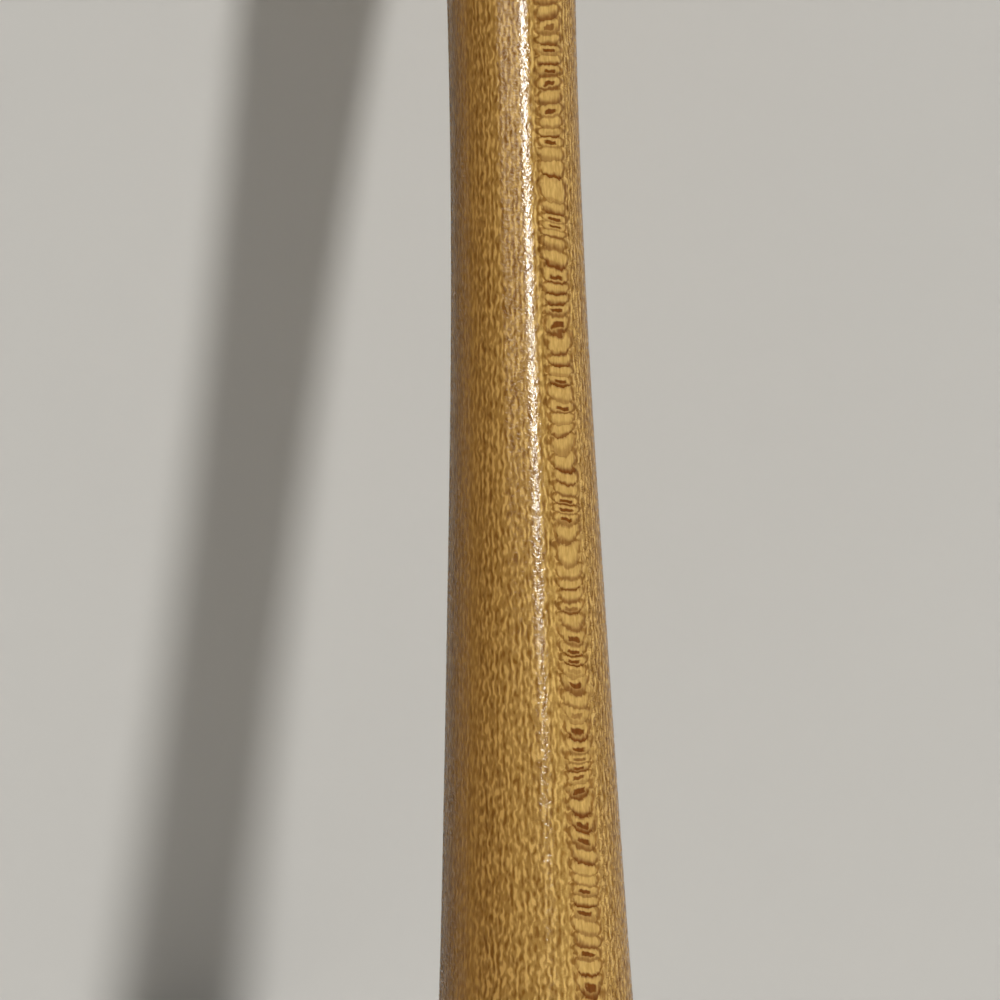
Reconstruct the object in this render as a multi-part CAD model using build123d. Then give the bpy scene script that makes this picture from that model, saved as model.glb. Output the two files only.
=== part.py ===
"""Soprano recorder in two joints, turned from maple: a flared one-piece body and a head with a cedar block.

All sizes are millimetres. The axis is +Z and the origin is the centre of the bell end's flat face,
on which the instrument stands. The window and the finger holes face -Y, and the thumb hole faces +Y.
"""

import math
import os
from dataclasses import dataclass

from build123d import *

# ---- Outer line of the body, from the bell end up to the shoulder ----
BELL_RADIUS = 15.46
BELL_SLOPE = 0.054  # how fast the radius shrinks with height at the bell end
LOWER_FLARE_HEIGHT = 35.0
LOWER_FLARE_RADIUS = 13.84
MIDDLE_FLARE_HEIGHT = 70.0
MIDDLE_FLARE_RADIUS = 12.47
UPPER_FLARE_HEIGHT = 110.0
UPPER_FLARE_RADIUS = 11.1
WAIST_HEIGHT = 158.0
WAIST_RADIUS = 10.46
SHOULDER_HEIGHT = 228.0
SHOULDER_RADIUS = 12.1
SHOULDER_SLOPE = 0.045  # how fast the radius grows with height at the shoulder
BELL_RIM_ROUNDING = 1.1
SHOULDER_ROUNDING = 0.5

# ---- Bore of the body ----
PEG_SEAT_RADIUS = 7.4
PEG_SEAT_LENGTH = 18.0
CHOKE_HEIGHT = 48.0
CHOKE_RADIUS = 6.2
BODY_BORE_RADIUS = 6.8
BODY_BORE_TAPER_TOP = 150.0
BELL_MOUTH_ROUNDING = 0.8

# ---- Tenon on the body, and the socket in the head that takes it ----
TENON_LENGTH = 20.0
TENON_COLLAR_LENGTH = 3.5
TENON_COLLAR_SETBACK = 0.1
TENON_TIP_CHAMFER = 0.4
CORK_RADIUS = 9.2
CORK_THICKNESS = 0.9
SOCKET_CLEARANCE = 0.05
SOCKET_END_CLEARANCE = 0.5

# ---- Head joint ----
HEAD_LENGTH = 102.0
HEAD_BORE_RADIUS = 7.0
HEAD_FOOT_RADIUS = 12.4
HEAD_MIDDLE_RADIUS = 12.15
HEAD_TOP_RADIUS = 11.6

# ---- Brass ring let into the foot of the head ----
RING_HEIGHT = 7.0
RING_WALL = 1.1
RING_CLEARANCE = 0.03
RING_GROOVE_DEPTH = 0.2
RING_GROOVE_INSET = 1.6

# ---- Window, ramp and windway ----
WINDWAY_LENGTH = 43.0
WINDWAY_WIDTH = 9.6
WINDWAY_EXIT_HEIGHT = 1.1
WINDWAY_ENTRY_HEIGHT = 1.7
CUT_UP = 4.0
RAMP_LENGTH = 18.0
LABIUM_EDGE_THICKNESS = 0.5

# ---- Block ----
BLOCK_CLEARANCE = 0.03
BLOCK_FACE_CHAMFER = 0.6

# ---- Beak: a hollow curve cut across the back of the head and the block ----
BEAK_LIP_THICKNESS = 7.1
BEAK_LENGTH = 28.0
BEAK_HOLLOW = 4.5

# ---- Thumb hole and its bush ----
THUMB_HOLE_HEIGHT = 185.0
THUMB_HOLE_RADIUS = 2.6
BUSH_WALL = 1.6
BUSH_DEPTH = 2.6
GLUE_LINE = 0.02


@dataclass(frozen=True)
class FingerHole:
    """One drilled hole: its height, its radius, its turn about the axis from -Y, and its offset sideways."""

    height: float
    radius: float
    turn_degrees: float = 0.0
    offset: float = 0.0


# ---- Finger holes: the lowest two notes have a pair of small holes side by side ----
PAIR_HALF_SPACING = 2.3
LITTLE_FINGER_TURN = -16.0
FINGER_HOLES = (
    FingerHole(178.0, 2.5),
    FingerHole(158.5, 2.8),
    FingerHole(141.5, 2.7),
    FingerHole(117.5, 2.7),
    FingerHole(99.0, 2.8),
    FingerHole(79.0, 1.7, 0.0, -PAIR_HALF_SPACING),
    FingerHole(79.0, 1.4, 0.0, PAIR_HALF_SPACING),
    FingerHole(47.0, 1.6, LITTLE_FINGER_TURN, -PAIR_HALF_SPACING),
    FingerHole(47.0, 1.3, LITTLE_FINGER_TURN, PAIR_HALF_SPACING),
)
THUMB_HOLE = FingerHole(THUMB_HOLE_HEIGHT, THUMB_HOLE_RADIUS, 180.0)

# ---- Worked out from the sizes above ----
TIP_HEIGHT = SHOULDER_HEIGHT + HEAD_LENGTH
BLOCK_FACE_HEIGHT = TIP_HEIGHT - WINDWAY_LENGTH
LABIUM_HEIGHT = BLOCK_FACE_HEIGHT - CUT_UP
RAMP_FOOT_HEIGHT = LABIUM_HEIGHT - RAMP_LENGTH
TENON_TOP = SHOULDER_HEIGHT + TENON_LENGTH
SOCKET_TOP = TENON_TOP + SOCKET_END_CLEARANCE
SOCKET_RADIUS = CORK_RADIUS + SOCKET_CLEARANCE
CORK_BOTTOM = SHOULDER_HEIGHT + TENON_COLLAR_LENGTH
CORK_TOP = TENON_TOP - TENON_COLLAR_LENGTH
CORK_SEAT_RADIUS = CORK_RADIUS - CORK_THICKNESS
TENON_RADIUS = CORK_RADIUS - TENON_COLLAR_SETBACK
RING_TOP = SHOULDER_HEIGHT + RING_HEIGHT
RING_SEAT_RADIUS = HEAD_FOOT_RADIUS - RING_WALL
BUSH_RADIUS = THUMB_HOLE_RADIUS + BUSH_WALL
OUT_OF_REACH = 2 * BELL_RADIUS
OVERRUN = 1.0


def turned(lines):
    """A solid turned about Z from a closed half-section drawn in the XZ plane."""
    return revolve(Plane.XZ * make_face(lines), Axis.Z)


def turned_polygon(points):
    """A solid turned about Z from a half-section with straight sides."""
    return turned(Polyline(*points, close=True))


def rod(radius, bottom, top):
    """A plain cylinder about Z."""
    return Pos(0, 0, bottom) * Cylinder(radius, top - bottom, align=(Align.CENTER, Align.CENTER, Align.MIN))


def drill(hole, start=0.0, wider=0.0):
    """The waste of a hole from a distance off the axis to well outside, optionally wider than the hole."""
    length = OUT_OF_REACH - start
    bit = Cylinder(hole.radius + wider, length, align=(Align.CENTER, Align.CENTER, Align.MIN))
    return Pos(0, 0, hole.height) * Rot(0, 0, hole.turn_degrees) * Pos(hole.offset, -start, 0) * Rot(90, 0, 0) * bit


# ---- Body joint, cork and bush ----


def body_envelope():
    """The body below its tenon as it leaves the lathe, with no bore and no holes."""
    bell = (BELL_RADIUS, 0)
    shoulder = (SHOULDER_RADIUS, SHOULDER_HEIGHT)
    side = Spline(
        bell,
        (LOWER_FLARE_RADIUS, LOWER_FLARE_HEIGHT),
        (MIDDLE_FLARE_RADIUS, MIDDLE_FLARE_HEIGHT),
        (UPPER_FLARE_RADIUS, UPPER_FLARE_HEIGHT),
        (WAIST_RADIUS, WAIST_HEIGHT),
        shoulder,
        tangents=[(-BELL_SLOPE, 1), (SHOULDER_SLOPE, 1)],
    )
    ends_and_axis = Polyline(shoulder, (0, SHOULDER_HEIGHT), (0, 0), bell)
    blank = turned([side, ends_and_axis])
    blank = fillet(end_rim(blank, 0), BELL_RIM_ROUNDING)
    return fillet(end_rim(blank, -1), SHOULDER_ROUNDING)


def end_rim(solid, which):
    """The widest circular edge at the lowest (0) or highest (-1) level of a turned solid."""
    circles = solid.edges().filter_by(GeomType.CIRCLE)
    return circles.group_by(Axis.Z)[which].sort_by(SortBy.RADIUS)[-1]


def tenon():
    """The tenon above the shoulder, with the shallow seat that the cork is glued into."""
    return turned_polygon(
        [
            (0, SHOULDER_HEIGHT - OVERRUN),
            (TENON_RADIUS, SHOULDER_HEIGHT - OVERRUN),
            (TENON_RADIUS, CORK_BOTTOM),
            (CORK_SEAT_RADIUS, CORK_BOTTOM),
            (CORK_SEAT_RADIUS, CORK_TOP),
            (TENON_RADIUS, CORK_TOP),
            (TENON_RADIUS, TENON_TOP - TENON_TIP_CHAMFER),
            (TENON_RADIUS - TENON_TIP_CHAMFER, TENON_TOP),
            (0, TENON_TOP),
        ]
    )


def body_bore():
    """The air column through the body: peg seat, choke, gentle taper and the straight run up to the head."""
    return turned_polygon(
        [
            (0, -OVERRUN),
            (PEG_SEAT_RADIUS, -OVERRUN),
            (PEG_SEAT_RADIUS, PEG_SEAT_LENGTH),
            (CHOKE_RADIUS, CHOKE_HEIGHT),
            (BODY_BORE_RADIUS, BODY_BORE_TAPER_TOP),
            (BODY_BORE_RADIUS, TENON_TOP + OVERRUN),
            (0, TENON_TOP + OVERRUN),
        ]
    )


def bush_floor():
    """How far from the axis the bottom of the bush's seat lies."""
    return WAIST_RADIUS - BUSH_DEPTH


def make_body_joint():
    """The body joint with its bore, finger holes, thumb hole and the seat for the thumb bush."""
    body = body_envelope() + tenon() - body_bore()
    mouth = body.edges().filter_by(GeomType.CIRCLE).group_by(Axis.Z)[0].sort_by(SortBy.RADIUS)[0]
    body = fillet(mouth, BELL_MOUTH_ROUNDING)
    for hole in (*FINGER_HOLES, THUMB_HOLE):
        body -= drill(hole)
    return body - drill(THUMB_HOLE, bush_floor(), BUSH_WALL + GLUE_LINE)


def make_thumb_bush():
    """The hard ring glued in round the thumb hole, flush with the wood."""
    barrel = drill(THUMB_HOLE, bush_floor() + GLUE_LINE, BUSH_WALL)
    return (barrel & body_envelope()) - drill(THUMB_HOLE)


def make_tenon_cork():
    """The cork sleeve glued round the tenon."""
    bottom = CORK_BOTTOM + GLUE_LINE
    top = CORK_TOP - GLUE_LINE
    return rod(CORK_RADIUS, bottom, top) - rod(CORK_SEAT_RADIUS + GLUE_LINE, bottom, top)


# ---- Head joint, ring and block ----


def make_socket_ring():
    """The brass ring that stops the socket from splitting, with a turned line near each edge."""
    top = RING_TOP - RING_CLEARANCE
    ring = rod(HEAD_FOOT_RADIUS, SHOULDER_HEIGHT, top)
    ring -= rod(RING_SEAT_RADIUS + RING_CLEARANCE, SHOULDER_HEIGHT, top)
    for height in (SHOULDER_HEIGHT + RING_GROOVE_INSET, RING_TOP - RING_GROOVE_INSET):
        ring -= turned_polygon(
            [
                (HEAD_FOOT_RADIUS - RING_GROOVE_DEPTH, height),
                (HEAD_FOOT_RADIUS + RING_GROOVE_DEPTH, height - 2 * RING_GROOVE_DEPTH),
                (HEAD_FOOT_RADIUS + RING_GROOVE_DEPTH, height + 2 * RING_GROOVE_DEPTH),
            ]
        )
    return ring


def head_envelope():
    """The head as it leaves the lathe, stepped at its foot for the ring."""
    side = ThreePointArc(
        (HEAD_FOOT_RADIUS, RING_TOP),
        (HEAD_MIDDLE_RADIUS, (RING_TOP + TIP_HEIGHT) / 2),
        (HEAD_TOP_RADIUS, TIP_HEIGHT),
    )
    ends_and_axis = Polyline(
        (HEAD_TOP_RADIUS, TIP_HEIGHT),
        (0, TIP_HEIGHT),
        (0, SHOULDER_HEIGHT),
        (RING_SEAT_RADIUS, SHOULDER_HEIGHT),
        (RING_SEAT_RADIUS, RING_TOP),
        (HEAD_FOOT_RADIUS, RING_TOP),
    )
    return turned([side, ends_and_axis])


def front_slab(bottom, top):
    """A slab as wide as the windway, from the axis out to the front."""
    slab = Box(WINDWAY_WIDTH, OUT_OF_REACH, top - bottom, align=(Align.CENTER, Align.MAX, Align.MIN))
    return Pos(0, 0, bottom) * slab


def windway():
    """The curved slot over the block that narrows from the lip to the window."""
    exit_radius = HEAD_BORE_RADIUS + WINDWAY_EXIT_HEIGHT
    entry_radius = HEAD_BORE_RADIUS + WINDWAY_ENTRY_HEIGHT
    roof = turned_polygon(
        [
            (0, BLOCK_FACE_HEIGHT - OVERRUN),
            (exit_radius, BLOCK_FACE_HEIGHT - OVERRUN),
            (exit_radius, BLOCK_FACE_HEIGHT),
            (entry_radius, TIP_HEIGHT),
            (entry_radius, TIP_HEIGHT + OVERRUN),
            (0, TIP_HEIGHT + OVERRUN),
        ]
    )
    return roof & front_slab(BLOCK_FACE_HEIGHT - OVERRUN, TIP_HEIGHT + OVERRUN)


def ramp():
    """The waste outside the curved ramp that thins the wall down to the labium's edge."""
    outside = turned_polygon(
        [
            (HEAD_BORE_RADIUS + LABIUM_EDGE_THICKNESS, LABIUM_HEIGHT),
            (HEAD_FOOT_RADIUS, RAMP_FOOT_HEIGHT),
            (OUT_OF_REACH, RAMP_FOOT_HEIGHT),
            (OUT_OF_REACH, LABIUM_HEIGHT),
        ]
    )
    return outside & front_slab(RAMP_FOOT_HEIGHT, LABIUM_HEIGHT)


def beak_cutter():
    """The waste that the beak's hollow curve takes off the back of the head and the block."""
    lip = (BEAK_LIP_THICKNESS - HEAD_TOP_RADIUS, TIP_HEIGHT)
    heel = (HEAD_FOOT_RADIUS, TIP_HEIGHT - BEAK_LENGTH)
    chord = math.hypot(heel[0] - lip[0], heel[1] - lip[1])
    dip = BEAK_HOLLOW / chord
    deepest = (
        (lip[0] + heel[0]) / 2 + dip * (heel[1] - lip[1]),
        (lip[1] + heel[1]) / 2 - dip * (heel[0] - lip[0]),
    )
    above = TIP_HEIGHT + OUT_OF_REACH
    outline = [
        ThreePointArc(lip, deepest, heel),
        Polyline(heel, (OUT_OF_REACH, heel[1]), (OUT_OF_REACH, above), (lip[0], above), lip),
    ]
    return extrude(Plane.YZ * make_face(outline), OUT_OF_REACH, both=True)


def make_head_joint():
    """The head joint: socket, bore, windway, window, ramp and beak."""
    head = head_envelope()
    head -= rod(SOCKET_RADIUS, SHOULDER_HEIGHT - OVERRUN, SOCKET_TOP)
    head -= rod(HEAD_BORE_RADIUS, SOCKET_TOP - OVERRUN, TIP_HEIGHT + OVERRUN)
    head -= windway()
    head -= front_slab(LABIUM_HEIGHT, BLOCK_FACE_HEIGHT)
    head -= ramp()
    return head - beak_cutter()


def make_block():
    """The block that stops the bore above the window and floors the windway."""
    radius = HEAD_BORE_RADIUS - BLOCK_CLEARANCE
    plug = turned_polygon(
        [
            (0, BLOCK_FACE_HEIGHT),
            (radius - BLOCK_FACE_CHAMFER, BLOCK_FACE_HEIGHT),
            (radius, BLOCK_FACE_HEIGHT + BLOCK_FACE_CHAMFER),
            (radius, TIP_HEIGHT),
            (0, TIP_HEIGHT),
        ]
    )
    return plug - beak_cutter()


PARTS = {
    "body_joint": make_body_joint,
    "tenon_cork": make_tenon_cork,
    "thumb_bush": make_thumb_bush,
    "socket_ring": make_socket_ring,
    "head_joint": make_head_joint,
    "block": make_block,
}


def main():
    """Builds every part and writes each to its own STEP file."""
    os.makedirs("parts", exist_ok=True)
    for name, make in PARTS.items():
        export_step(make(), f"parts/{name}.step")


main()
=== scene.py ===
"""Looks of a turned maple recorder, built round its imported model.

The body and the head are turned meshes with bored holes, so their rims are softened as a maker leaves them.
All sizes in the classes are millimetres; meshes are written in metres, in the model's own frame.
The axis is +Z, the bell end stands on the floor, the finger holes face -Y and the thumb hole faces +Y.
"""

import logging
import math
from dataclasses import dataclass, field
from enum import Enum

import bmesh
import bpy
import numpy as np
from mathutils import Matrix, Vector


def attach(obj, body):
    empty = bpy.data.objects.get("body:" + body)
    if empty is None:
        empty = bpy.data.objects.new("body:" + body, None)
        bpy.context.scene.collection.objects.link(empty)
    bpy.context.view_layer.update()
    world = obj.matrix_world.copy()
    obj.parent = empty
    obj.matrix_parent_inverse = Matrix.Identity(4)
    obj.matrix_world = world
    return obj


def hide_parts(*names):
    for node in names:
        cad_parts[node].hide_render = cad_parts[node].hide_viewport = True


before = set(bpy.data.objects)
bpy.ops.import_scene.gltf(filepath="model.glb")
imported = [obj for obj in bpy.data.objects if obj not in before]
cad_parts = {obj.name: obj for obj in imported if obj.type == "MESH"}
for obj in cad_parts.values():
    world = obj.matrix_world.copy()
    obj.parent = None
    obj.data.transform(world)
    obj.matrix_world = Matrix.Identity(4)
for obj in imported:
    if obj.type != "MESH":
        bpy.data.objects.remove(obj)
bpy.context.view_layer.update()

MM = 0.001
WELD = 1e-6  # metres; vertices closer than this are one
SHARP = math.radians(35)  # edges that turn more than this stay crisp

log = logging.getLogger("recorder")

Colour = tuple[float, float, float]
Point2 = tuple[float, float]
Sockets = bpy.types.bpy_prop_collection
NUMBER = "NodeSocketFloat"
PLACE = ("NodeSocketVector", None)


# ---------------------------------------------------------------------------
# Lines and curves
# ---------------------------------------------------------------------------


class SideLine:
    """A smooth outer line of a turned piece: radius against height, with set slopes at both ends."""

    def __init__(self, stations: list[Point2], first_slope: float, last_slope: float) -> None:
        """Solves the one smooth cubic through every station.

        Args:
            stations: heights and radii, lowest first.
            first_slope: change of radius with height at the lowest station.
            last_slope: the same at the highest station.
        """
        self.heights = np.array([height for height, _ in stations])
        self.radii = np.array([radius for _, radius in stations])
        gaps = np.diff(self.heights)
        rises = np.diff(self.radii) / gaps
        count = len(stations)
        system = np.zeros((count, count))
        wanted = np.zeros(count)
        system[0, 0] = 1.0
        wanted[0] = first_slope
        system[-1, -1] = 1.0
        wanted[-1] = last_slope
        for i in range(1, count - 1):
            system[i, i - 1] = gaps[i]
            system[i, i] = 2 * (gaps[i - 1] + gaps[i])
            system[i, i + 1] = gaps[i - 1]
            wanted[i] = 3 * (gaps[i] * rises[i - 1] + gaps[i - 1] * rises[i])
        self.slopes = np.linalg.solve(system, wanted)

    def radius(self, height: np.ndarray | float) -> np.ndarray:
        """Radius of the turned surface.

        Args:
            height: one height or many.

        Returns:
            The radius at each height.
        """
        z = np.clip(np.asarray(height, float), self.heights[0], self.heights[-1])
        piece = np.clip(np.searchsorted(self.heights, z, side="right") - 1, 0, len(self.heights) - 2)
        gap = self.heights[piece + 1] - self.heights[piece]
        t = (z - self.heights[piece]) / gap
        low, high = self.radii[piece], self.radii[piece + 1]
        low_slope, high_slope = self.slopes[piece] * gap, self.slopes[piece + 1] * gap
        stay = (1 + 2 * t) * (1 - t) ** 2 * low + t**2 * (3 - 2 * t) * high
        return stay + t * (1 - t) ** 2 * low_slope + t**2 * (t - 1) * high_slope

    def section(self, bottom: float, top: float, step: float) -> list[Point2]:
        """Points along the line, as (radius, height).

        Args:
            bottom: lowest height wanted.
            top: highest height wanted.
            step: about how far apart the points are.

        Returns:
            The points, lowest first.
        """
        count = max(2, round((top - bottom) / step) + 1)
        return [(float(self.radius(z)), float(z)) for z in np.linspace(bottom, top, count)]


def softened(points: list[Point2], roundings: dict[int, float], steps: int = 4) -> list[Point2]:
    """A line with some of its corners rounded off.

    Args:
        points: the corners, in order.
        roundings: corner number against its radius.
        steps: how many pieces each rounding has.

    Returns:
        The new line's points.
    """
    line: list[Point2] = []
    for i, corner in enumerate(points):
        radius = roundings.get(i, 0.0)
        if not radius:
            line.append(corner)
            continue
        here = Vector(corner)
        back = (Vector(points[i - 1]) - here).normalized()
        on = (Vector(points[(i + 1) % len(points)]) - here).normalized()
        half = back.angle(on) / 2
        centre = here + (back + on).normalized() * (radius / math.sin(half))
        first = here + back * (radius / math.tan(half)) - centre
        last = here + on * (radius / math.tan(half)) - centre
        sweep = first.angle(last)
        for k in range(steps + 1):
            share = k / steps
            spoke = (first * math.sin((1 - share) * sweep) + last * math.sin(share * sweep)) / math.sin(sweep)
            line.append(tuple(centre + spoke))
    return line


def smooth_least(a: np.ndarray, b: np.ndarray, reach: float) -> np.ndarray:
    """The lesser of two lengths, with the corner between them rounded over a reach."""
    near = np.clip(0.5 + 0.5 * (b - a) / reach, 0, 1)
    return b * (1 - near) + a * near - reach * near * (1 - near)


# ---------------------------------------------------------------------------
# Meshes
# ---------------------------------------------------------------------------


class Workshop:
    """Tools that make, bore and finish meshes."""

    def __init__(self) -> None:
        """Builds the turning tree once, for every turned piece."""
        self.turning = self._turning_tree()

    def _turning_tree(self) -> bpy.types.NodeTree:
        """A Geometry Nodes tree that turns a half-section about Z.

        Returns:
            The tree, with inputs for the section, the number of segments and the material.
        """
        tree = bpy.data.node_groups.new("turn section about axis", "GeometryNodeTree")
        face = tree.interface
        face.new_socket("Section", in_out="INPUT", socket_type="NodeSocketGeometry")
        segments = face.new_socket("Segments", in_out="INPUT", socket_type="NodeSocketInt")
        segments.default_value = 144
        segments.min_value = 8
        face.new_socket("Finish", in_out="INPUT", socket_type="NodeSocketMaterial")
        face.new_socket("Turned", in_out="OUTPUT", socket_type="NodeSocketGeometry")
        g = Graph(tree)
        entry = g.add("NodeGroupInput")
        leave = g.add("NodeGroupOutput")
        size = g.add("GeometryNodeAttributeDomainSize", component="MESH")
        g.join(entry.outputs["Section"], size.inputs["Geometry"])
        columns = g.plus(entry.outputs["Segments"], 1.0)
        grid = g.add("GeometryNodeMeshGrid")
        g.join(size.outputs["Point Count"], grid.inputs["Vertices X"])
        g.join(columns, grid.inputs["Vertices Y"])
        index = g.add("GeometryNodeInputIndex").outputs["Index"]
        station = g.math("FLOOR", g.over(g.plus(index, 0.5), columns))
        turn = g.less(index, g.times(station, columns))
        sample = g.add("GeometryNodeSampleIndex", data_type="FLOAT_VECTOR", domain="POINT")
        g.join(entry.outputs["Section"], sample.inputs["Geometry"])
        g.join(g.add("GeometryNodeInputPosition").outputs["Position"], sample.inputs["Value"])
        g.join(station, sample.inputs["Index"])
        split = g.add("ShaderNodeSeparateXYZ")
        g.join(sample.outputs["Value"], split.inputs[0])
        angle = g.times(g.over(turn, entry.outputs["Segments"]), 2 * math.pi)
        place = g.add("ShaderNodeCombineXYZ")
        g.join(g.times(split.outputs["X"], g.math("COSINE", angle)), place.inputs["X"])
        g.join(g.times(split.outputs["X"], g.math("SINE", angle)), place.inputs["Y"])
        g.join(split.outputs["Z"], place.inputs["Z"])
        moved = g.add("GeometryNodeSetPosition")
        g.join(grid.outputs["Mesh"], moved.inputs["Geometry"])
        g.join(place.outputs["Vector"], moved.inputs["Position"])
        weld = g.add("GeometryNodeMergeByDistance")
        weld.inputs["Distance"].default_value = WELD
        g.join(moved.outputs["Geometry"], weld.inputs["Geometry"])
        real = g.add("GeometryNodeRealizeInstances")
        g.join(weld.outputs["Geometry"], real.inputs["Geometry"])
        finish = g.add("GeometryNodeSetMaterial")
        g.join(real.outputs["Geometry"], finish.inputs["Geometry"])
        g.join(entry.outputs["Finish"], finish.inputs["Material"])
        g.join(finish.outputs["Geometry"], leave.inputs["Turned"])
        return tree

    def turn(
        self, name: str, section: list[Point2], finish: bpy.types.Material | None = None, segments: int = 144
    ) -> bpy.types.Object:
        """Turns a half-section about Z into a plain mesh.

        Args:
            name: the new object's name.
            section: (radius, height) points in millimetres; a ring's section ends where it starts.
            finish: material of the piece.
            segments: how many flats go round it.

        Returns:
            The turned object.
        """
        line = bpy.data.meshes.new(name + "_section")
        edges = [(i, i + 1) for i in range(len(section) - 1)]
        line.from_pydata([(r * MM, 0, z * MM) for r, z in section], edges, [])
        work = bpy.data.objects.new(name + "_work", line)
        bpy.context.scene.collection.objects.link(work)
        modifier = work.modifiers.new("turn", "NODES")
        modifier.node_group = self.turning
        sockets = {item.name: item.identifier for item in self.turning.interface.items_tree}
        modifier[sockets["Segments"]] = segments
        modifier[sockets["Finish"]] = finish
        mesh = self._evaluated(work, name)
        work.modifiers.remove(modifier)
        bpy.data.objects.remove(work)
        bpy.data.meshes.remove(line)
        self.dress(mesh, finish)
        return self.closed(name, mesh)

    def rows(
        self, name: str, rows: np.ndarray, finish: bpy.types.Material | None = None, looped: bool = False
    ) -> bpy.types.Object:
        """Joins rows of points, each a closed ring, into a skin.

        Args:
            name: the new object's name.
            rows: rings of points in millimetres, as rows by points by three.
            finish: material of the piece.
            looped: whether the last ring joins the first one again; if not, both ends are capped.

        Returns:
            The closed object.
        """
        count, round_count = rows.shape[:2]
        faces: list[tuple[int, ...]] = []
        for i in range(count if looped else count - 1):
            low, high = i * round_count, ((i + 1) % count) * round_count
            for k in range(round_count):
                n = (k + 1) % round_count
                faces.append((low + k, low + n, high + n, high + k))
        if not looped:
            faces.append(tuple(range(round_count))[::-1])
            faces.append(tuple(range((count - 1) * round_count, count * round_count)))
        mesh = bpy.data.meshes.new(name)
        mesh.from_pydata((rows.reshape(-1, 3) * MM).tolist(), [], faces)
        self.dress(mesh, finish)
        return self.closed(name, mesh)

    def closed(self, name: str, mesh: bpy.types.Mesh) -> bpy.types.Object:
        """Welds a mesh, turns its faces outwards and links it as an object.

        Args:
            name: the object's name.
            mesh: the mesh to finish.

        Returns:
            The linked object.
        """
        tidy = bmesh.new()
        tidy.from_mesh(mesh)
        bmesh.ops.remove_doubles(tidy, verts=tidy.verts, dist=WELD)
        bmesh.ops.dissolve_degenerate(tidy, edges=tidy.edges, dist=WELD)
        bmesh.ops.recalc_face_normals(tidy, faces=tidy.faces)
        if tidy.calc_volume(signed=True) < 0:
            bmesh.ops.reverse_faces(tidy, faces=tidy.faces)
        for face in tidy.faces:
            face.smooth = True
        tidy.to_mesh(mesh)
        tidy.free()
        mesh.set_sharp_from_angle(angle=SHARP)
        piece = bpy.data.objects.new(name, mesh)
        bpy.context.scene.collection.objects.link(piece)
        return piece

    def bore(self, piece: bpy.types.Object, *wastes: bpy.types.Object) -> None:
        """Takes solids out of a piece, one after another, and removes them.

        Args:
            piece: the piece that is cut.
            wastes: the solids taken out of it.
        """
        for waste in wastes:
            cut = piece.modifiers.new("cut", "BOOLEAN")
            cut.operation = "DIFFERENCE"
            cut.solver = "EXACT"
            cut.object = waste
            mesh = self._evaluated(piece, piece.name)
            piece.modifiers.remove(cut)
            old = piece.data
            self.dress(mesh, old.materials[0] if old.materials else None)
            piece.data = mesh
            mesh.name = piece.name
            bpy.data.meshes.remove(old)
            spent = waste.data
            bpy.data.objects.remove(waste)
            bpy.data.meshes.remove(spent)
        piece.data.set_sharp_from_angle(angle=SHARP)

    @staticmethod
    def dress(mesh: bpy.types.Mesh, finish: bpy.types.Material | None) -> None:
        """Gives every face of a mesh one finish."""
        mesh.materials.clear()
        if finish is not None:
            mesh.materials.append(finish)
        mesh.polygons.foreach_set("material_index", np.zeros(len(mesh.polygons), np.int32))

    @staticmethod
    def _evaluated(work: bpy.types.Object, name: str) -> bpy.types.Mesh:
        """A plain mesh of an object as its modifiers leave it."""
        bpy.context.view_layer.update()
        seen = work.evaluated_get(bpy.context.evaluated_depsgraph_get())
        mesh = bpy.data.meshes.new_from_object(seen)
        mesh.name = name
        return mesh


# ---------------------------------------------------------------------------
# Node graphs
# ---------------------------------------------------------------------------


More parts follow.
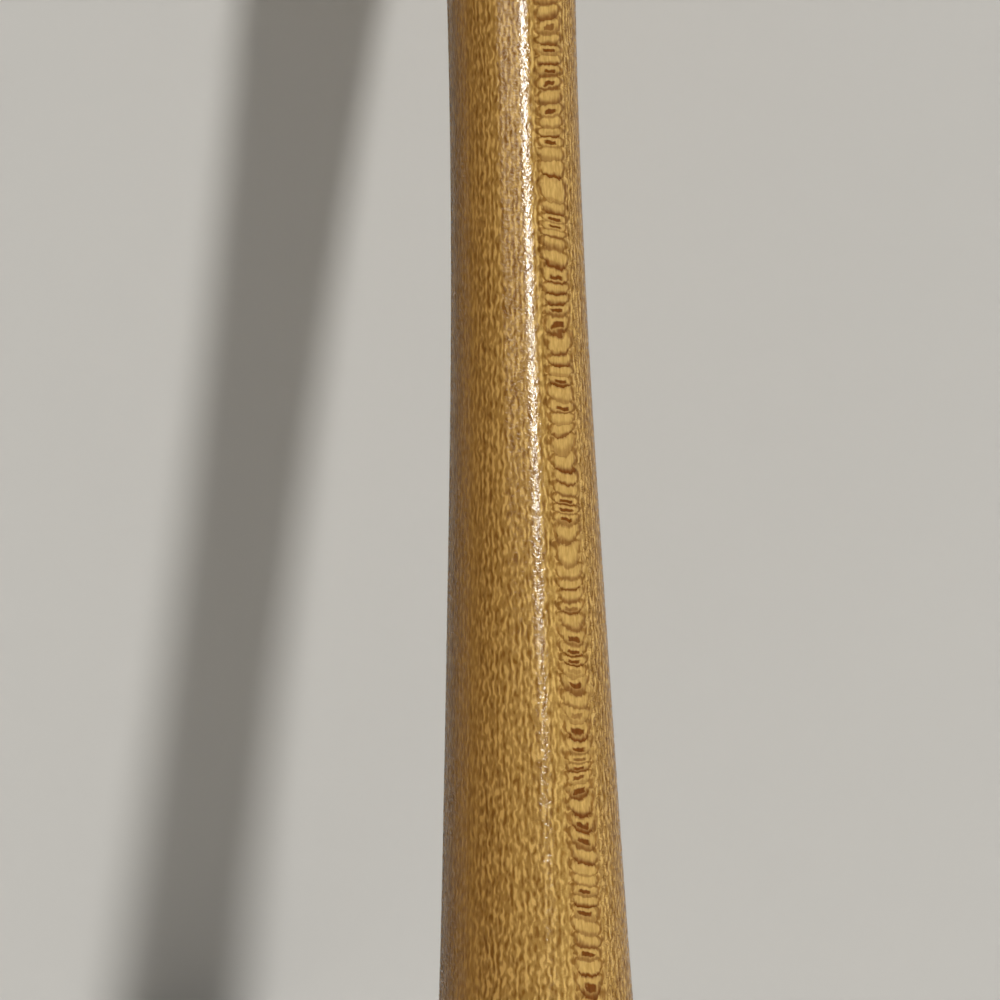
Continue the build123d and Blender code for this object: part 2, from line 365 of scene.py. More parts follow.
class Graph:
    """Short ways to add and join nodes in one tree."""

    def __init__(self, tree: bpy.types.NodeTree) -> None:
        """Keeps the tree that nodes go into."""
        self.tree = tree

    def add(self, kind: str, **settings: object) -> bpy.types.Node:
        """Adds a node.

        Args:
            kind: the node's type.
            settings: properties set on it.

        Returns:
            The node.
        """
        node = self.tree.nodes.new(kind)
        for name, value in settings.items():
            setattr(node, name, value)
        return node

    def join(self, source: bpy.types.NodeSocket, target: bpy.types.NodeSocket) -> None:
        """Links an output to an input."""
        self.tree.links.new(source, target)

    def feed(self, socket: bpy.types.NodeSocket, value: object) -> None:
        """Links a socket, or sets it to a plain value."""
        if isinstance(value, bpy.types.NodeSocket):
            self.join(value, socket)
        else:
            socket.default_value = value

    def math(self, operation: str, *values: object, clamp: bool = False) -> bpy.types.NodeSocket:
        """A Math node on sockets or numbers.

        Args:
            operation: the node's operation.
            values: its operands.
            clamp: whether the result is kept from 0 to 1.

        Returns:
            The result's socket.
        """
        node = self.add("ShaderNodeMath", operation=operation, use_clamp=clamp)
        for socket, value in zip(node.inputs, values):
            self.feed(socket, value)
        return node.outputs[0]

    def plus(self, a: object, b: object) -> bpy.types.NodeSocket:
        """The sum of two values."""
        return self.math("ADD", a, b)

    def less(self, a: object, b: object) -> bpy.types.NodeSocket:
        """One value less another."""
        return self.math("SUBTRACT", a, b)

    def times(self, a: object, b: object) -> bpy.types.NodeSocket:
        """The product of two values."""
        return self.math("MULTIPLY", a, b)

    def over(self, a: object, b: object) -> bpy.types.NodeSocket:
        """One value over another."""
        return self.math("DIVIDE", a, b)

    def swing(self, value: object, reach: float) -> bpy.types.NodeSocket:
        """A value from 0 to 1 turned into one that swings to both sides of 0 by half a reach."""
        return self.times(self.less(value, 0.5), reach)

    def vector(self, operation: str, *values: object) -> bpy.types.NodeSocket:
        """A Vector Math node on sockets or tuples, giving its vector."""
        node = self.add("ShaderNodeVectorMath", operation=operation)
        for socket, value in zip(node.inputs, values):
            self.feed(socket, value)
        return node.outputs["Vector"]

    def xyz(self, x: object = 0.0, y: object = 0.0, z: object = 0.0) -> bpy.types.NodeSocket:
        """A vector from three sockets or numbers."""
        node = self.add("ShaderNodeCombineXYZ")
        for socket, value in zip(node.inputs, (x, y, z)):
            self.feed(socket, value)
        return node.outputs[0]

    def split(self, vector: bpy.types.NodeSocket) -> tuple[bpy.types.NodeSocket, ...]:
        """The three parts of a vector."""
        node = self.add("ShaderNodeSeparateXYZ")
        self.join(vector, node.inputs[0])
        return tuple(node.outputs)

    def noise(
        self, place: object, scale: float = 1.0, detail: float = 2.0, rough: float = 0.5
    ) -> bpy.types.NodeSocket:
        """A noise value from 0 to 1 at a place."""
        node = self.add("ShaderNodeTexNoise", noise_dimensions="3D")
        self.feed(node.inputs["Vector"], place)
        node.inputs["Scale"].default_value = scale
        node.inputs["Detail"].default_value = detail
        node.inputs["Roughness"].default_value = rough
        return node.outputs["Fac"]

    def ramp(
        self, value: object, low: object, high: object, out_low: object = 0.0, out_high: object = 1.0
    ) -> bpy.types.NodeSocket:
        """A smooth step of a value from one range to another."""
        node = self.add("ShaderNodeMapRange", interpolation_type="SMOOTHSTEP")
        names = ("Value", "From Min", "From Max", "To Min", "To Max")
        for name, given in zip(names, (value, low, high, out_low, out_high)):
            self.feed(node.inputs[name], given)
        return node.outputs["Result"]

    def blend(self, share: object, a: object, b: object, mode: str = "MIX") -> bpy.types.NodeSocket:
        """A colour between two colours."""
        node = self.add("ShaderNodeMix", data_type="RGBA", blend_type=mode)
        self.feed(node.inputs[0], share)
        self.feed(node.inputs[6], a)
        self.feed(node.inputs[7], b)
        return node.outputs[2]

    def stain(self, colour: bpy.types.NodeSocket, share: object, tint: Colour) -> bpy.types.NodeSocket:
        """A colour stained by a tint, as far as a share from 0 to 1."""
        return self.blend(share, colour, self.blend(1.0, colour, rgba(tint), "MULTIPLY"))

    def place(self, tree: bpy.types.NodeTree, spot: bpy.types.NodeSocket, **values: float) -> bpy.types.Node:
        """Places a shared effect.

        Args:
            tree: the effect's node group.
            spot: where on the piece it is read.
            values: its other inputs, in small letters with underscores.

        Returns:
            The group's node.
        """
        node = self.add("ShaderNodeGroup", node_tree=tree)
        self.join(spot, node.inputs["Place"])
        for name, value in values.items():
            node.inputs[name.replace("_", " ").title()].default_value = value
        return node

    def bump(self, height: bpy.types.NodeSocket, strength: float, depth: float) -> bpy.types.NodeSocket:
        """The normal of a surface raised by a height, at most by a depth in millimetres."""
        node = self.add("ShaderNodeBump")
        node.inputs["Strength"].default_value = strength
        node.inputs["Distance"].default_value = depth * MM
        self.join(height, node.inputs["Height"])
        return node.outputs["Normal"]


def rgba(colour: Colour) -> tuple[float, float, float, float]:
    """A colour with full opacity."""
    return (*colour, 1.0)


# ---------------------------------------------------------------------------
# Effects shared by finishes
# ---------------------------------------------------------------------------


class Effects:
    """Shader node groups that several finishes place with their own values."""

    def __init__(self) -> None:
        """Builds each group once."""
        self.ray_fleck = self._ray_fleck()
        self.fibre = self._fibre()
        self.specks = self._specks()

    @staticmethod
    def _group(
        name: str, inputs: dict[str, tuple[str, object]], outputs: dict[str, str]
    ) -> tuple[bpy.types.NodeTree, Graph, Sockets, Sockets]:
        """A new shader node group.

        Args:
            name: the group's name.
            inputs: socket name against (socket type, default).
            outputs: socket name against socket type.

        Returns:
            The tree, its graph, its input node's outputs and its output node's inputs.
        """
        tree = bpy.data.node_groups.new(name, "ShaderNodeTree")
        for socket, (kind, default) in inputs.items():
            made = tree.interface.new_socket(socket, in_out="INPUT", socket_type=kind)
            if default is not None:
                made.default_value = default
        for socket, kind in outputs.items():
            tree.interface.new_socket(socket, in_out="OUTPUT", socket_type=kind)
        g = Graph(tree)
        entry = g.add("NodeGroupInput")
        leave = g.add("NodeGroupOutput")
        return tree, g, entry.outputs, leave.inputs

    def _ray_fleck(self) -> bpy.types.NodeTree:
        """The figure of rayed wood.

        Round most of a piece the rays are cut end on and read as wavy lines. On the quartered side they
        lie almost in the surface and show as a ladder of pale frames with dark rungs, with contour lines
        beside it.
        """
        tree, g, given, out = self._group(
            "ray fleck",
            {
                "Place": PLACE,
                "Quartered Turn": (NUMBER, 0.0),
                "Lines Around": (NUMBER, 80.0),
                "Spindle Width": (NUMBER, 0.45),
                "Spindle Length": (NUMBER, 1.3),
                "Frame Height": (NUMBER, 2.1),
                "Frame Width": (NUMBER, 4.6),
                "Sag": (NUMBER, 0.2),
            },
            {"Ray": NUMBER, "Frame": NUMBER, "Line": NUMBER, "Tone": NUMBER, "Quartered": NUMBER},
        )
        turned = g.add("ShaderNodeVectorRotate", rotation_type="Z_AXIS")
        g.join(given["Place"], turned.inputs["Vector"])
        g.join(g.times(given["Quartered Turn"], -1.0), turned.inputs["Angle"])
        spot = turned.outputs["Vector"]
        along, across, _ = g.split(spot)
        square = g.times(across, across)
        reach = g.plus(square, g.times(along, along))
        quartered = g.over(square, g.math("MAXIMUM", reach, 0.01))
        g.join(quartered, out["Quartered"])
        self._ladder(g, given, out, spot, quartered)
        self._wavy_lines(g, given, out, spot, quartered)
        return tree

    @staticmethod
    def _ladder(
        g: Graph, given: Sockets, out: Sockets, spot: bpy.types.NodeSocket, quartered: bpy.types.NodeSocket
    ) -> None:
        """Draws the ladder of the quartered side: frames, rungs, dark hearts and contour lines.

        Args:
            g: the group's graph.
            given: the group's inputs.
            out: the group's outputs.
            spot: the place, turned so that Y points to the quartered side.
            quartered: how much of the surface is quartered, from 0 to 1.
        """
        along, _, height = g.split(spot)
        sway = g.swing(g.noise(g.vector("MULTIPLY", spot, (0.1, 0.05, 0.13)), detail=0.0), 2.6)
        rough = g.add("ShaderNodeTexNoise", noise_dimensions="3D")
        g.join(g.vector("MULTIPLY", spot, (0.75, 0.3, 0.9)), rough.inputs["Vector"])
        rough.inputs["Scale"].default_value = 1.0
        rough.inputs["Detail"].default_value = 0.8
        rough_x, rough_z, _ = g.split(rough.outputs["Color"])
        aside = g.plus(along, g.swing(rough_x, 1.3))
        aside = g.math("ABSOLUTE", g.plus(aside, g.times(sway, 0.3)))
        # The rungs sag to both sides in small steps, most near the bell, and their edges are frayed.
        stepped = g.plus(g.times(g.math("SNAP", aside, 0.65), 0.8), g.times(aside, 0.2))
        sag = g.times(given["Sag"], g.ramp(height, 60.0, 190.0, 1.0, 0.1))
        fray = g.swing(g.noise(g.vector("MULTIPLY", spot, (1.5, 0.0, 0.5)), detail=0.0), 0.35)
        up = g.plus(height, g.swing(rough_z, 0.8))
        up = g.plus(g.less(up, g.times(sag, g.times(stepped, stepped))), fray)
        # Frames are stacked: the step is how far up its frame a point is, and chance sets each frame apart.
        count = g.plus(g.over(up, given["Frame Height"]), sway)
        step = g.math("FRACT", count)
        chance = g.add("ShaderNodeTexWhiteNoise", noise_dimensions="1D")
        g.join(g.less(count, step), chance.inputs["W"])
        first, second, third = g.split(chance.outputs["Color"])
        from_middle = g.math("ABSOLUTE", g.less(g.times(step, 2.0), 1.0))
        bulge = g.less(1.12, g.times(g.math("POWER", from_middle, 2.0), 0.35))
        reach_out = g.over(aside, g.times(g.times(given["Frame Width"], 0.5), bulge))
        shown = g.ramp(quartered, 0.8, 0.9)
        # A rung at the foot and the top of each frame, and a dark heart in some of them.
        thick = g.plus(0.3, g.times(first, 0.4))
        rung = g.math("MAXIMUM", g.ramp(step, 0.1, thick, 1.0, 0.0), g.ramp(step, 0.86, 0.98, 0.0, 0.6))
        rung = g.times(rung, g.ramp(reach_out, 0.8, 1.0, 1.0, 0.0))
        rung = g.times(rung, g.ramp(second, 0.0, 0.7, 0.4, 1.0))
        heart = g.times(g.ramp(from_middle, 0.22, 0.5, 1.0, 0.0), g.ramp(reach_out, 0.35, 0.55, 1.0, 0.0))
        heart = g.times(heart, g.ramp(third, 0.45, 0.6))
        g.join(g.times(g.math("MAXIMUM", rung, heart), shown), out["Ray"])
        # The frames' upright edges, and contour lines that follow them, more on one side.
        edge = g.ramp(g.math("ABSOLUTE", g.less(reach_out, 1.0)), 0.05, 0.28, 1.0, 0.0)
        contour = g.ramp(g.math("SINE", g.times(reach_out, 17.0)), 0.0, 0.8, 0.0, 0.75)
        contour = g.times(contour, g.ramp(reach_out, 1.15, 1.35))
        contour = g.times(contour, g.ramp(quartered, 0.5, 0.75))
        contour = g.times(contour, g.ramp(along, -1.0, 1.5, 1.0, 0.3))
        edge = g.math("MAXIMUM", g.times(edge, shown), contour)
        g.join(g.times(edge, g.ramp(rough_z, 0.3, 0.5, 0.4, 1.0)), out["Frame"])

    @staticmethod
    def _wavy_lines(
        g: Graph, given: Sockets, out: Sockets, spot: bpy.types.NodeSocket, quartered: bpy.types.NodeSocket
    ) -> None:
        """Draws the wavy fibre lines between spindles of paler wood, fainter on the two pure cuts.

        Args:
            g: the group's graph.
            given: the group's inputs.
            out: the group's outputs.
            spot: the place, turned so that Y points to the quartered side.
            quartered: how much of the surface is quartered, from 0 to 1.
        """
        along, across, _ = g.split(spot)
        wiggle = g.swing(g.noise(g.vector("MULTIPLY", spot, (0.8, 0.8, 0.65)), detail=1.0), 1.7)
        part_round = g.over(g.math("ARCTAN2", across, along), math.tau)
        turns = g.plus(g.times(part_round, given["Lines Around"]), wiggle)
        ripple = g.math("SINE", g.times(turns, math.tau))
        spindle = g.xyz(given["Spindle Width"], given["Spindle Width"], given["Spindle Length"])
        swell = g.swing(g.noise(g.vector("DIVIDE", spot, spindle), detail=0.0), 2.8)
        swell = g.plus(g.times(ripple, 0.5), swell)
        open_grain = g.ramp(quartered, 0.91, 0.985, 1.0, 0.15)
        open_grain = g.times(open_grain, g.ramp(quartered, 0.02, 0.22, 0.4, 1.0))
        g.join(g.times(g.ramp(swell, -1.1, -0.15, 1.0, 0.0), open_grain), out["Line"])
        tone = g.times(g.less(g.ramp(swell, -0.3, 1.2), 0.5), open_grain)
        g.join(g.plus(tone, 0.5), out["Tone"])

    def _fibre(self) -> bpy.types.NodeTree:
        """Fine fibre lines that run up the wood."""
        sizes = {"Place": PLACE, "Width": (NUMBER, 0.25), "Length": (NUMBER, 4.0)}
        tree, g, given, out = self._group("fibre lines", sizes, {"Value": NUMBER})
        fibre = g.xyz(given["Width"], given["Width"], given["Length"])
        g.join(g.noise(g.vector("DIVIDE", given["Place"], fibre), detail=2.0, rough=0.6), out["Value"])
        return tree

    def _specks(self) -> bpy.types.NodeTree:
        """Small scattered specks with soft edges."""
        sizes = {"Place": PLACE, "Size": (NUMBER, 0.3), "Share": (NUMBER, 0.4)}
        tree, g, given, out = self._group("specks", sizes, {"Mask": NUMBER})
        speck = g.xyz(given["Size"], given["Size"], given["Size"])
        value = g.noise(g.vector("DIVIDE", given["Place"], speck), detail=1.0)
        edge = g.less(1.0, given["Share"])
        g.join(g.ramp(value, g.times(edge, 0.85), g.times(edge, 1.1)), out["Mask"])
        return tree


# ---------------------------------------------------------------------------
# Finishes
# ---------------------------------------------------------------------------


@dataclass(frozen=True)
class Finish:
    """A named finish with its material slot."""

    name: str
    slot: str

    def start(self) -> tuple[bpy.types.Material, Graph, bpy.types.Node, bpy.types.NodeSocket]:
        """A new material, its graph, its shader, and the object's own coordinates in millimetres."""
        material = bpy.data.materials.new(self.name)
        material.use_nodes = True
        g = Graph(material.node_tree)
        shader = material.node_tree.nodes["Principled BSDF"]
        coordinates = g.add("ShaderNodeTexCoord")
        scale = g.add("ShaderNodeVectorMath", operation="SCALE")
        scale.inputs["Scale"].default_value = 1 / MM
        g.join(coordinates.outputs["Object"], scale.inputs[0])
        return material, g, shader, scale.outputs["Vector"]


@dataclass(frozen=True)
class Maple(Finish):
    """Varnished maple with strong ray fleck."""

    quartered_turn: float = math.radians(34)
    flat_sawn: Colour = (0.295, 0.144, 0.0275)
    quartered: Colour = (0.430, 0.268, 0.073)
    pale_fibre: Colour = (1.50, 1.56, 1.80)
    dark_fibre: Colour = (0.84, 0.78, 0.68)
    line_tint: Colour = (0.62, 0.50, 0.36)
    frame_tint: Colour = (0.50, 0.38, 0.26)
    ray_tint: Colour = (0.30, 0.148, 0.062)
    shift: Colour = (0.0, 0.0, 0.0)

    def make(self, effects: Effects) -> bpy.types.Material:
        """Builds the material.

        Args:
            effects: the shared node groups.

        Returns:
            The material.
        """
        material, g, shader, place = self.start()
        place = g.vector("ADD", place, self.shift)
        fleck = g.place(effects.ray_fleck, place, quartered_turn=self.quartered_turn).outputs
        fibre = g.place(effects.fibre, place, width=0.35, length=2.0).outputs["Value"]
        tone = g.plus(fleck["Tone"], fibre)
        wood = g.blend(fleck["Quartered"], rgba(self.flat_sawn), rgba(self.quartered))
        streak = g.blend(g.ramp(tone, 0.45, 1.45), rgba(self.dark_fibre), rgba(self.pale_fibre))
        wood = g.blend(1.0, wood, streak, "MULTIPLY")
        for mark, tint in (("Line", self.line_tint), ("Frame", self.frame_tint), ("Ray", self.ray_tint)):
            wood = g.stain(wood, fleck[mark], tint)
        g.join(wood, shader.inputs["Base Color"])
        height = g.less(g.times(tone, 0.5), fleck["Line"])
        g.join(g.bump(height, 0.3, 0.08), shader.inputs["Normal"])
        # The varnish has pulled into a fine ripple, and has sunk a little where the grain is open.
        ripple = g.noise(g.vector("MULTIPLY", place, (2.2, 2.2, 2.7)), detail=1.0)
        g.join(g.bump(ripple, 1.0, 0.04), shader.inputs["Coat Normal"])
        sunk = g.noise(g.vector("MULTIPLY", place, (2.4, 2.4, 1.9)), detail=1.0)
        varnish = g.less(g.ramp(sunk, 0.35, 0.6, 0.3, 1.0), g.times(fleck["Line"], 0.3))
        g.join(varnish, shader.inputs["Coat Weight"])
        shader.inputs["Coat Roughness"].default_value = 0.12
        shader.inputs["Roughness"].default_value = 0.5
        shader.inputs["Specular IOR Level"].default_value = 0.0
        return material


@dataclass(frozen=True)
class Cedar(Finish):
    """Straight-grained red cedar, bare."""

    early: Colour = (0.37, 0.185, 0.085)
    late: Colour = (0.20, 0.082, 0.036)

    def make(self, effects: Effects) -> bpy.types.Material:
        """Builds the material.

        Args:
            effects: the shared node groups.

        Returns:
            The material.
        """
        material, g, shader, place = self.start()
        x, _, _ = g.split(place)
        wander = g.noise(g.vector("MULTIPLY", place, (0.2, 0.2, 0.03)))
        ring = g.math("FRACT", g.plus(g.times(x, 0.6), g.times(wander, 3.0)))
        band = g.math("POWER", ring, 3.0)
        fibre = g.place(effects.fibre, place, width=0.12, length=3.0).outputs["Value"]
        share = g.math("ADD", g.times(band, 0.8), g.times(fibre, 0.4), clamp=True)
        g.join(g.blend(share, rgba(self.early), rgba(self.late)), shader.inputs["Base Color"])
        g.join(g.bump(fibre, 0.4, 0.08), shader.inputs["Normal"])
        shader.inputs["Roughness"].default_value = 0.62
        return material


@dataclass(frozen=True)
class Cork(Finish):
    """Sheet cork: tan granules with dark pits, rubbed with a little grease."""

    light: Colour = (0.52, 0.34, 0.18)
    dark: Colour = (0.17, 0.085, 0.035)

    def make(self, effects: Effects) -> bpy.types.Material:
        """Builds the material.

        Args:
            effects: the shared node groups.

        Returns:
            The material.
        """
        material, g, shader, place = self.start()
        grain = g.add("ShaderNodeTexVoronoi", voronoi_dimensions="3D", feature="F1")
        grain.inputs["Scale"].default_value = 1.3
        g.join(place, grain.inputs["Vector"])
        red, _, _ = g.split(grain.outputs["Color"])
        pits = g.place(effects.specks, place, size=0.8, share=0.38).outputs["Mask"]
        share = g.math("ADD", g.times(red, 0.35), g.times(pits, 0.5), clamp=True)
        g.join(g.blend(share, rgba(self.light), rgba(self.dark)), shader.inputs["Base Color"])
        g.join(g.bump(g.less(1.0, share), 0.6, 0.12), shader.inputs["Normal"])
        shader.inputs["Roughness"].default_value = 0.7
        return material


@dataclass(frozen=True)
class Brass(Finish):
    """Turned brass, a little tarnished."""

    bright: Colour = (0.80, 0.58, 0.24)
    dull: Colour = (0.46, 0.30, 0.12)

    def make(self, effects: Effects) -> bpy.types.Material:
        """Builds the material.

        Args:
            effects: the shared node groups.

        Returns:
            The material.
        """
        material, g, shader, place = self.start()
        lines = g.noise(g.vector("MULTIPLY", place, (0.05, 0.05, 9.0)), detail=3.0)
        specks = g.place(effects.specks, place, size=2.5, share=0.45).outputs["Mask"]
        dull = g.plus(g.times(specks, 0.35), g.times(lines, 0.25))
        g.join(g.blend(dull, rgba(self.bright), rgba(self.dull)), shader.inputs["Base Color"])
        g.join(g.ramp(dull, 0.0, 0.6, 0.2, 0.42), shader.inputs["Roughness"])
        g.join(g.bump(lines, 0.15, 0.03), shader.inputs["Normal"])
        shader.inputs["Metallic"].default_value = 1.0
        return material


@dataclass(frozen=True)
class IvoryResin(Finish):
    """Ivory-coloured resin, polished."""

    pale: Colour = (0.72, 0.66, 0.52)
    warm: Colour = (0.62, 0.54, 0.38)

    def make(self, effects: Effects) -> bpy.types.Material:
        """Builds the material.

        Args:
            effects: the shared node groups.

        Returns:
            The material.
        """
        material, g, shader, place = self.start()
        fibre = g.place(effects.fibre, place, width=0.7, length=2.5).outputs["Value"]
        g.join(g.blend(fibre, rgba(self.pale), rgba(self.warm)), shader.inputs["Base Color"])
        specks = g.place(effects.specks, place, size=0.5).outputs["Mask"]
        g.join(g.ramp(specks, 0.0, 1.0, 0.2, 0.32), shader.inputs["Roughness"])
        return material


# ---------------------------------------------------------------------------
# Sub-assemblies
# ---------------------------------------------------------------------------


@dataclass(frozen=True)
class ToneHole:
    """One hole: its height, its radius, its turn about the axis from -Y and its offset sideways."""

    height: float
    radius: float
    turn_degrees: float = 0.0
    offset: float = 0.0

    def outward(self) -> tuple[np.ndarray, np.ndarray]:
        """The hole's own directions: out of the body, and sideways."""
        turn = math.radians(self.turn_degrees)
        out = np.array([math.sin(turn), -math.cos(turn), 0.0])
        side = np.array([math.cos(turn), math.sin(turn), 0.0])
        return out, side

    def ring(
        self, line: SideLine, radius: float, depth: float | None, level: float = 0.0, count: int = 48
    ) -> np.ndarray:
        """A ring of points round the hole.

        Args:
            line: the outer line that the hole is bored into.
            radius: how far the ring is from the hole's axis.
            depth: how far below the turned surface it lies, or None to lie at a flat level.
            level: the distance from the body's axis, where depth is None.
            count: how many points it has.

        Returns:
            The points in millimetres.
        """
        out, side = self.outward()
        angle = np.linspace(0, 2 * math.pi, count, endpoint=False)
        across = self.offset + radius * np.cos(angle)
        height = self.height + radius * np.sin(angle)
        if depth is None:
            reach = np.full(count, level)
        else:
            reach = np.sqrt(line.radius(height) ** 2 - across**2) - depth
        return reach[:, None] * out + across[:, None] * side + height[:, None] * np.array([0, 0, 1.0])

    def waste(self, shop: Workshop, line: SideLine, rim: float, inner: float) -> bpy.types.Object:
        """The waste of the hole, flared at its mouth so that the rim is left rounded.

        Args:
            shop: the tools.
            line: the outer line of the body.
            rim: radius of the rounding at the rim.
            inner: how far from the axis the waste starts.

        Returns:
            The waste.
        """
        rows = [self.ring(line, self.radius, None, inner), self.ring(line, self.radius, rim)]
        for degrees in (20, 40, 60, 80):
            turn = math.radians(degrees)
            rows.append(self.ring(line, self.radius + rim * (1 - math.cos(turn)), rim * (1 - math.sin(turn))))
        mouth = self.radius + rim * (1 - math.cos(math.radians(80))) + 0.3
        rows.append(self.ring(line, mouth, -0.05))
        rows.append(self.ring(line, mouth, -4.0))
        return shop.rows("waste", np.array(rows))


@dataclass
class BodyJoint:
    """The flared body with its tenon, finger holes, thumb hole and cork."""

    stations: tuple[Point2, ...] = (
        (0.0, 15.46), (35.0, 13.84), (70.0, 12.47), (110.0, 11.1), (158.0, 10.46), (228.0, 12.1),
    )
    bell_slope: float = -0.054
    shoulder_slope: float = 0.045
    bell_rounding: float = 1.1
    shoulder_rounding: float = 0.5
    mouth_rounding: float = 0.8
    peg_seat: Point2 = (7.4, 18.0)
    choke: Point2 = (6.2, 48.0)
    bore_radius: float = 6.8
    taper_top: float = 150.0
    tenon_radius: float = 9.1
    tenon_length: float = 20.0
    tip_chamfer: float = 0.4
    cork_radius: float = 9.2
    cork_seat: float = 8.3
    collar: float = 3.5
    glue: float = 0.02
    rim: float = 0.45
    thumb_hole: ToneHole = ToneHole(185.0, 2.6, 180.0)
    bush_wall: float = 1.6
    bush_floor: float = 7.86
    finger_holes: tuple[ToneHole, ...] = (
        ToneHole(178.0, 2.5),
        ToneHole(158.5, 2.8),
        ToneHole(141.5, 2.7),
        ToneHole(117.5, 2.7),
        ToneHole(99.0, 2.8),
        ToneHole(79.0, 1.7, 0.0, -2.3),
        ToneHole(79.0, 1.4, 0.0, 2.3),
        ToneHole(47.0, 1.6, -16.0, -2.3),
        ToneHole(47.0, 1.3, -16.0, 2.3),
    )
    line: SideLine = field(init=False)

    def __post_init__(self) -> None:
        """Draws the outer line."""
        self.line = SideLine(list(self.stations), self.bell_slope, self.shoulder_slope)

    @property
    def shoulder(self) -> float:
        """Height of the shoulder."""
        return self.stations[-1][0]

    @property
    def tenon_top(self) -> float:
        """Height of the tenon's end."""
        return self.shoulder + self.tenon_length

    def section(self) -> list[Point2]:
        """The body's closed half-section.

        Returns:
            Its points, starting at the bell's mouth and going round by the outside.
        """
        seat_radius, seat_top = self.peg_seat
        bell = self.stations[0][1]
        side = self.line.section(0.0, self.shoulder, 1.5)
        outside = softened(
            [(seat_radius, 8.0), (seat_radius, 0.0), (bell, 0.0), side[3]],
            {1: self.mouth_rounding, 2: self.bell_rounding},
            6,
        )
        shoulder = softened(
            [side[-2], side[-1], (self.tenon_radius, self.shoulder)], {1: self.shoulder_rounding}, 5
        )
        cork_bottom = self.shoulder + self.collar
        cork_top = self.tenon_top - self.collar
        tenon = [
            (self.tenon_radius, cork_bottom),
            (self.cork_seat, cork_bottom),
            (self.cork_seat, cork_top),
            (self.tenon_radius, cork_top),
            (self.tenon_radius, self.tenon_top - self.tip_chamfer),
            (self.tenon_radius - self.tip_chamfer, self.tenon_top),
            (self.bore_radius + 0.3, self.tenon_top),
            (self.bore_radius, self.tenon_top - 0.3),
        ]
        bore = [(self.bore_radius, z) for z in np.linspace(220.0, self.taper_top, 24)]
        low, high = np.array(self.choke), np.array([self.bore_radius, self.taper_top])
        taper = [tuple(low + (high - low) * t) for t in np.linspace(0.97, 0.0, 32)]
        seat = [(seat_radius, seat_top), (seat_radius, 8.0)]
        return [*outside, *side[4:-2], *shoulder, *tenon, *bore, *taper, *seat]

    def make_wood(self, shop: Workshop, finish: bpy.types.Material) -> bpy.types.Object:
        """Turns and bores the wooden body.

        Args:
            shop: the tools.
            finish: the wood.

        Returns:
            The body.
        """
        wood = shop.turn("body_joint_wood", self.section(), finish)
        wastes = [hole.waste(shop, self.line, self.rim, 5.0) for hole in self.finger_holes]
        hole = self.thumb_hole
        seat = self.bush_wall + hole.radius + self.glue
        rows = [
            hole.ring(self.line, hole.radius, None, 5.0),
            hole.ring(self.line, hole.radius, None, self.bush_floor),
            hole.ring(self.line, seat, None, self.bush_floor),
            hole.ring(self.line, seat, -4.0),
        ]
        wastes.append(shop.rows("waste", np.array(rows)))
        shop.bore(wood, *wastes)
        return wood

    def make_cork(self, shop: Workshop, finish: bpy.types.Material) -> bpy.types.Object:
        """Turns the cork sleeve of the tenon."""
        bottom = self.shoulder + self.collar + self.glue
        top = self.tenon_top - self.collar - self.glue
        inner = self.cork_seat + self.glue
        corners = [(inner, bottom), (self.cork_radius, bottom), (self.cork_radius, top), (inner, top)]
        section = softened(corners, {1: 0.3, 2: 0.3}, 3)
        return shop.turn("tenon_cork_sleeve", [*section, section[0]], finish, 96)

    def make_bush(self, shop: Workshop, finish: bpy.types.Material) -> bpy.types.Object:
        """Shapes the bush round the thumb hole, flush with the wood and rounded at its mouth."""
        hole = self.thumb_hole
        floor = self.bush_floor + self.glue
        outer = hole.radius + self.bush_wall
        rim = 0.6
        rows = [
            hole.ring(self.line, hole.radius, None, floor),
            hole.ring(self.line, outer, None, floor),
            hole.ring(self.line, outer, 0.08),
            hole.ring(self.line, outer - 0.08, 0.0),
        ]
        for degrees in (90, 70, 50, 30, 10, 0):
            turn = math.radians(degrees)
            radius = hole.radius + rim * (1 - math.cos(turn))
            rows.append(hole.ring(self.line, radius, rim * (1 - math.sin(turn))))
        return shop.rows("thumb_hole_bush", np.array(rows), finish, looped=True)


